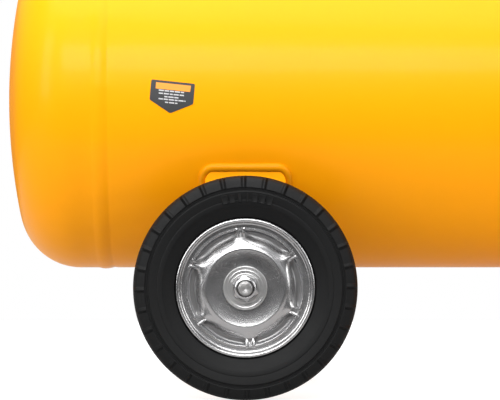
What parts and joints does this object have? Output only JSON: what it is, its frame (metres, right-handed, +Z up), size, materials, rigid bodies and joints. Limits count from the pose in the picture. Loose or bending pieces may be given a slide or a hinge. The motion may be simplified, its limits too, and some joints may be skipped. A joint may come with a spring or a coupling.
{
  "type": "air compressor",
  "caption": "Belt driven air compressor on a horizontal tank with two wheels, rubber feet, piston pump, electric motor, belt guard, pressure switch and regulated outlet.",
  "frame": {"origin": "centre of the footprint of the whole object, on the floor", "axes": "+X along the tank from the wheels toward the handle, -Y is the front, +Z is up"},
  "size_m": [0.82, 0.4026, 0.757],
  "materials": {
    "tank_paint": "glossy powder coat",
    "black_paint": "satin",
    "motor_paint": "satin",
    "tyre_rubber": "matt",
    "soft_rubber": "matt",
    "zinc_steel": "zinc plated",
    "bare_steel": "machined",
    "pump_iron": "painted casting",
    "cast_aluminium": "cast",
    "copper": "drawn copper",
    "brass_parts": "machined",
    "nickel": "bright plated",
    "black_plastic": "fine grain",
    "red_plastic": "gloss",
    "white_nylon": "natural nylon",
    "sight_glass": "clear"
  },
  "bodies": {
    "frame": {"tank_shell": "tank_paint", "tank_heads": "tank_paint", "welds": "tank_paint", "wheel_brackets": "tank_paint", "foot_bracket": "tank_paint", "rubber_feet": "soft_rubber", "hex_bolts": "zinc_steel", "platform": "black_paint", "handle": "tank_paint", "handle_grip": "soft_rubber", "axle_bolts": "zinc_steel", "axle_washers": "zinc_steel", "axle_nuts": "zinc_steel", "crankcase": "pump_iron", "crankcase_cover": "pump_iron", "oil_sight_glass": "sight_glass", "cylinder_block": "pump_iron", "valve_plate": "bare_steel", "cylinder_head": "cast_aluminium", "air_filter": "black_plastic", "crank_bearings": "bare_steel", "motor_frame": "motor_paint", "motor_end_bells": "motor_paint", "motor_stator": "copper", "motor_fan_cover": "black_paint", "capacitor_box": "black_plastic", "v_belt": "soft_rubber", "belt_guard_back": "black_paint", "belt_guard_front": "black_paint", "discharge_tube": "copper", "check_valve": "brass_parts", "unloader_tube": "white_nylon", "manifold": "brass_parts", "pressure_switch": "black_plastic", "regulator_body": "cast_aluminium", "gauge_case": "black_plastic", "coupler_body": "brass_parts", "safety_valve": "brass_parts", "drain_body": "brass_parts", "motor_lead": "black_plastic"},
    "wheel_front": {"tyre_front": "tyre_rubber", "rim_outer_front": "zinc_steel", "rim_inner_front": "zinc_steel"},
    "wheel_rear": {"tyre_rear": "tyre_rubber", "rim_outer_rear": "zinc_steel", "rim_inner_rear": "zinc_steel"},
    "crank": {"crankshaft": "bare_steel", "flywheel": "black_paint"},
    "rotor": {"motor_rotor": "bare_steel", "motor_fan": "black_plastic", "motor_pulley": "bare_steel"},
    "piston_body": {"piston": "cast_aluminium"},
    "rod": {"connecting_rod": "cast_aluminium", "rod_pins": "bare_steel"},
    "start_knob": {"switch_knob": "red_plastic"},
    "pressure_knob": {"regulator_knob": "black_plastic"},
    "needle": {"gauge_needle": "red_plastic"},
    "sleeve": {"coupler_sleeve": "nickel"},
    "pull_ring": {"safety_ring": "nickel"},
    "drain_tap": {"drain_knob": "nickel"}
  },
  "joints": [
    {"name": "front_wheel_spin", "type": "hinge", "parent": "frame", "child": "wheel_front", "pos_m": [-0.183, -0.17204, 0.1016], "axis": [0, 1, 0], "continuous": true},
    {"name": "rear_wheel_spin", "type": "hinge", "parent": "frame", "child": "wheel_rear", "pos_m": [-0.183, 0.17204, 0.1016], "axis": [0, 1, 0], "continuous": true},
    {"name": "crank_spin", "type": "hinge", "parent": "frame", "child": "crank", "pos_m": [-0.158, 0, 0.555], "axis": [0, 1, 0], "continuous": true},
    {"name": "motor_spin", "type": "hinge", "parent": "frame", "child": "rotor", "pos_m": [0.057, 0, 0.555], "axis": [0, 1, 0], "continuous": true},
    {"name": "piston_stroke", "type": "slide", "parent": "frame", "child": "piston_body", "axis": [0, 0, 1], "range_m": [0, 0.046]},
    {"name": "rod_swing", "type": "hinge", "parent": "piston_body", "child": "rod", "pos_m": [-0.158, 0, 0.627], "axis": [0, 1, 0], "range_deg": [-14, 14]},
    {"name": "start_knob_pull", "type": "slide", "parent": "frame", "child": "start_knob", "axis": [0, 0, 1], "range_m": [0, 0.006]},
    {"name": "pressure_knob_turn", "type": "hinge", "parent": "frame", "child": "pressure_knob", "pos_m": [0.188, -0.08, 0.487], "axis": [0, -1, 0], "range_deg": [0, 360]},
    {"name": "gauge_sweep", "type": "hinge", "parent": "frame", "child": "needle", "pos_m": [0.188, -0.054, 0.541], "axis": [0, 1, 0], "range_deg": [0, 270]},
    {"name": "coupler_release", "type": "slide", "parent": "frame", "child": "sleeve", "axis": [1, 0, 0], "range_m": [-0.004, 0], "stiffness_N_per_m": 600, "springref_m": 0.002},
    {"name": "safety_pull", "type": "slide", "parent": "frame", "child": "pull_ring", "axis": [0, 1, 0], "range_m": [0, 0.003], "stiffness_N_per_m": 3000, "springref_m": -0.001},
    {"name": "drain_turn", "type": "hinge", "parent": "frame", "child": "drain_tap", "pos_m": [0.102, 0, 0.088], "axis": [0, 0, -1], "range_deg": [0, 360]}
  ],
  "couplings": [
    {"joint": "motor_spin", "follows": "crank_spin", "ratio": 3}
  ]
}
